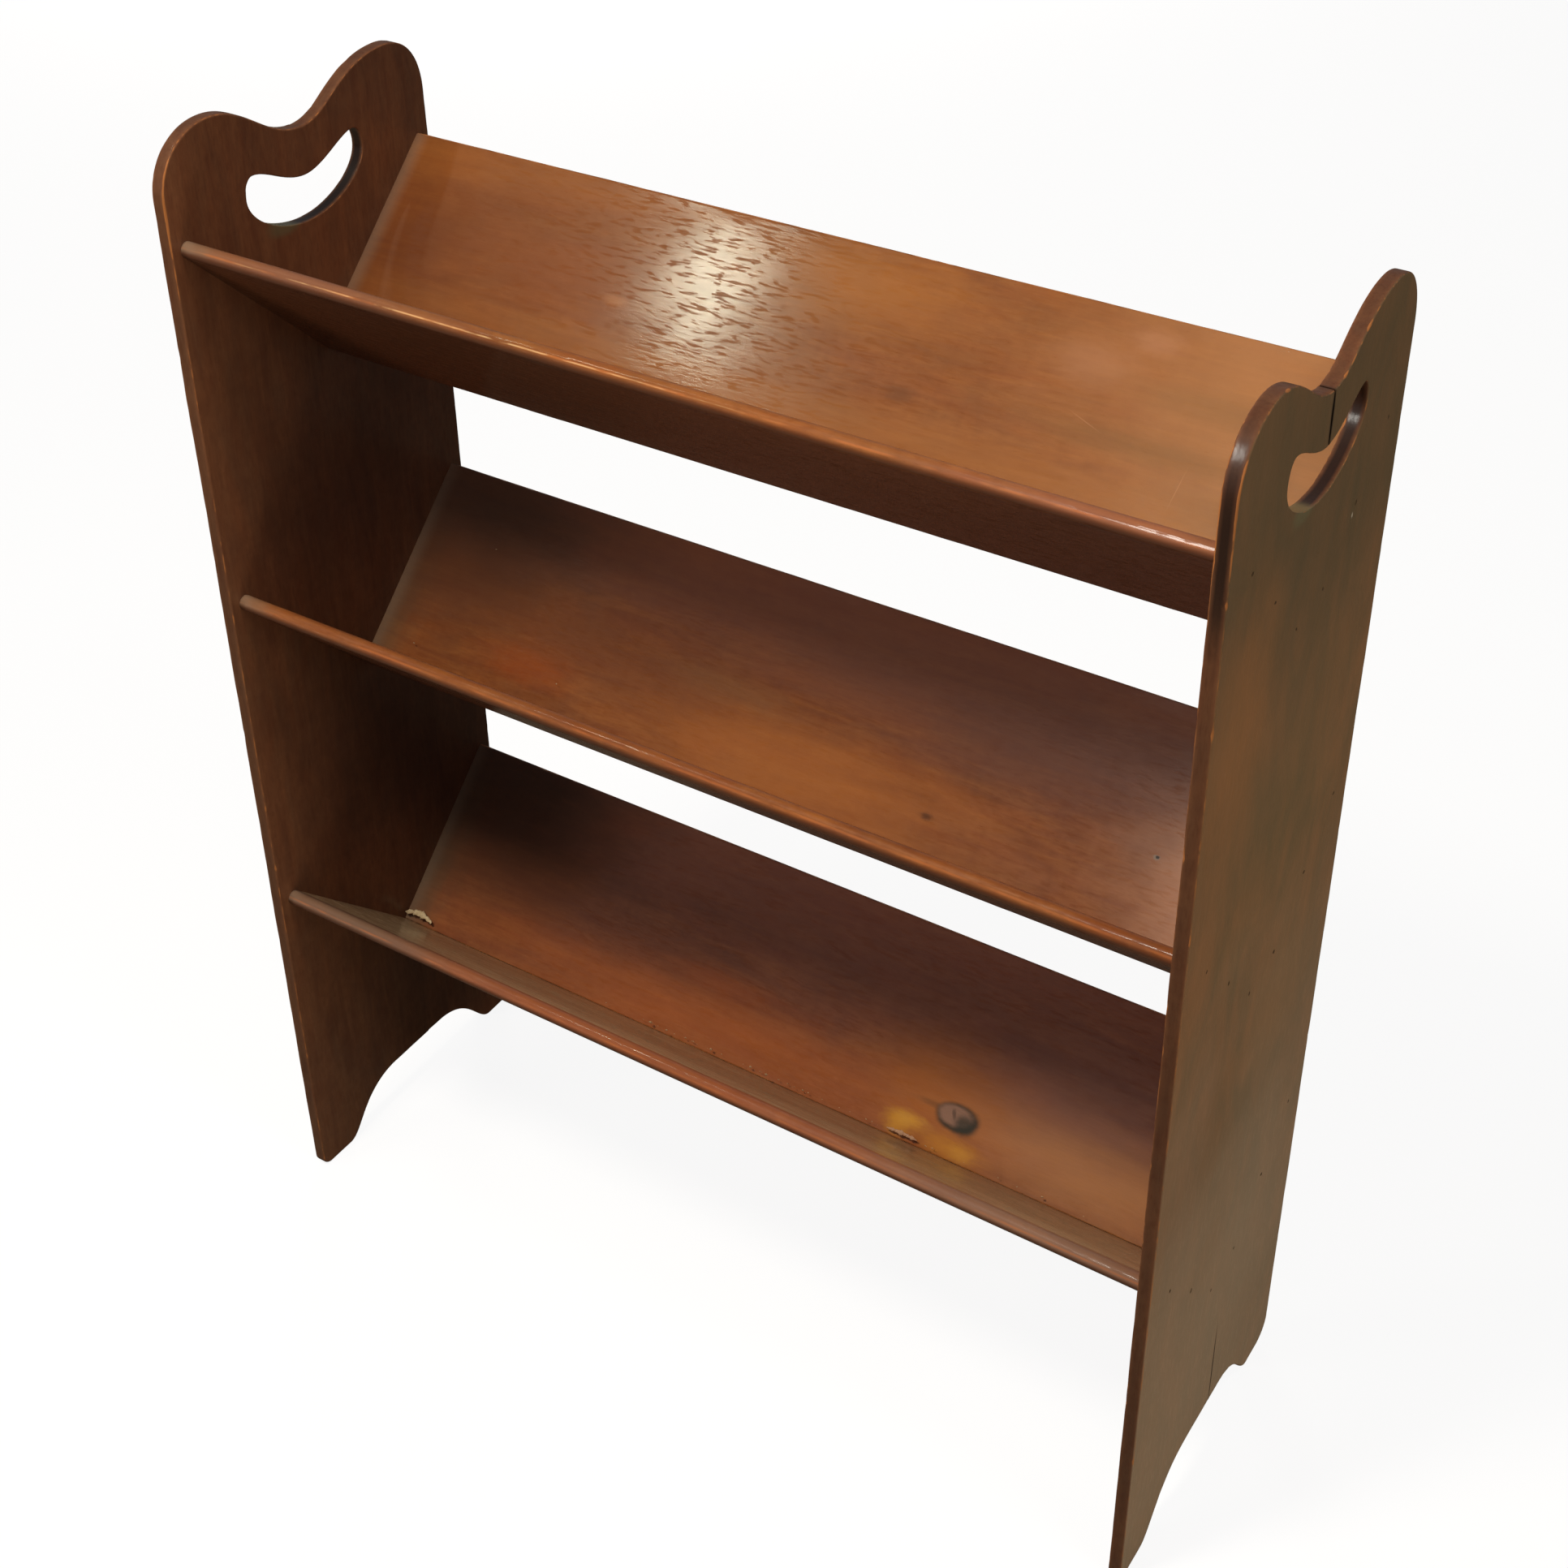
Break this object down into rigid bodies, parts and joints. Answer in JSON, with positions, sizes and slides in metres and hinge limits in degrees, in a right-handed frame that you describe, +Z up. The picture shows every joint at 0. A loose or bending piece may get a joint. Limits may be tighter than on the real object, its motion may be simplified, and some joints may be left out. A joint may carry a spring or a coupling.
{
  "type": "book trough",
  "caption": "Free-standing tiered book trough: thin shaped end panels with kidney hand holes and arched feet carry V-shaped troughs of nailed boards.",
  "frame": {"origin": "centre of the base, on the floor, midway between the end panels and between their front and back edges", "axes": "+X along the troughs to the right end, +Y to the back, +Z up"},
  "size_m": [0.761, 0.262, 0.93],
  "materials": {
    "end_wood": "satin",
    "trough_wood": "satin",
    "nail_steel": "satin"
  },
  "bodies": {
    "root": {"left_end_front_board": "end_wood", "left_end_back_board": "end_wood", "right_end_front_board": "end_wood", "right_end_back_board": "end_wood", "bottom_trough_front_board": "trough_wood", "bottom_trough_back_board": "trough_wood", "middle_trough_front_board": "trough_wood", "middle_trough_back_board": "trough_wood", "top_trough_front_board": "trough_wood", "top_trough_back_board": "trough_wood", "left_bottom_front_nail_1": "nail_steel", "left_bottom_front_nail_2": "nail_steel", "left_bottom_front_nail_3": "nail_steel", "left_bottom_back_nail_1": "nail_steel", "left_bottom_back_nail_2": "nail_steel", "left_bottom_back_nail_3": "nail_steel", "left_middle_front_nail_1": "nail_steel", "left_middle_front_nail_2": "nail_steel", "left_middle_front_nail_3": "nail_steel", "left_middle_back_nail_1": "nail_steel", "left_middle_back_nail_2": "nail_steel", "left_middle_back_nail_3": "nail_steel", "left_top_front_nail_1": "nail_steel", "left_top_front_nail_2": "nail_steel", "left_top_front_nail_3": "nail_steel", "left_top_back_nail_1": "nail_steel", "left_top_back_nail_2": "nail_steel", "left_top_back_nail_3": "nail_steel", "right_bottom_front_nail_1": "nail_steel", "right_bottom_front_nail_2": "nail_steel", "right_bottom_front_nail_3": "nail_steel", "right_bottom_back_nail_1": "nail_steel", "right_bottom_back_nail_2": "nail_steel", "right_bottom_back_nail_3": "nail_steel", "right_middle_front_nail_1": "nail_steel", "right_middle_front_nail_2": "nail_steel", "right_middle_front_nail_3": "nail_steel", "right_middle_back_nail_1": "nail_steel", "right_middle_back_nail_2": "nail_steel", "right_middle_back_nail_3": "nail_steel", "right_top_front_nail_1": "nail_steel", "right_top_front_nail_2": "nail_steel", "right_top_front_nail_3": "nail_steel", "right_top_back_nail_1": "nail_steel", "right_top_back_nail_2": "nail_steel", "right_top_back_nail_3": "nail_steel", "bottom_seam_nail_1": "nail_steel", "bottom_seam_nail_2": "nail_steel", "bottom_seam_nail_3": "nail_steel", "bottom_seam_nail_4": "nail_steel", "middle_seam_nail_1": "nail_steel", "middle_seam_nail_2": "nail_steel", "middle_seam_nail_3": "nail_steel", "middle_seam_nail_4": "nail_steel", "top_seam_nail_1": "nail_steel", "top_seam_nail_2": "nail_steel", "top_seam_nail_3": "nail_steel", "top_seam_nail_4": "nail_steel"}
  },
  "joints": []
}
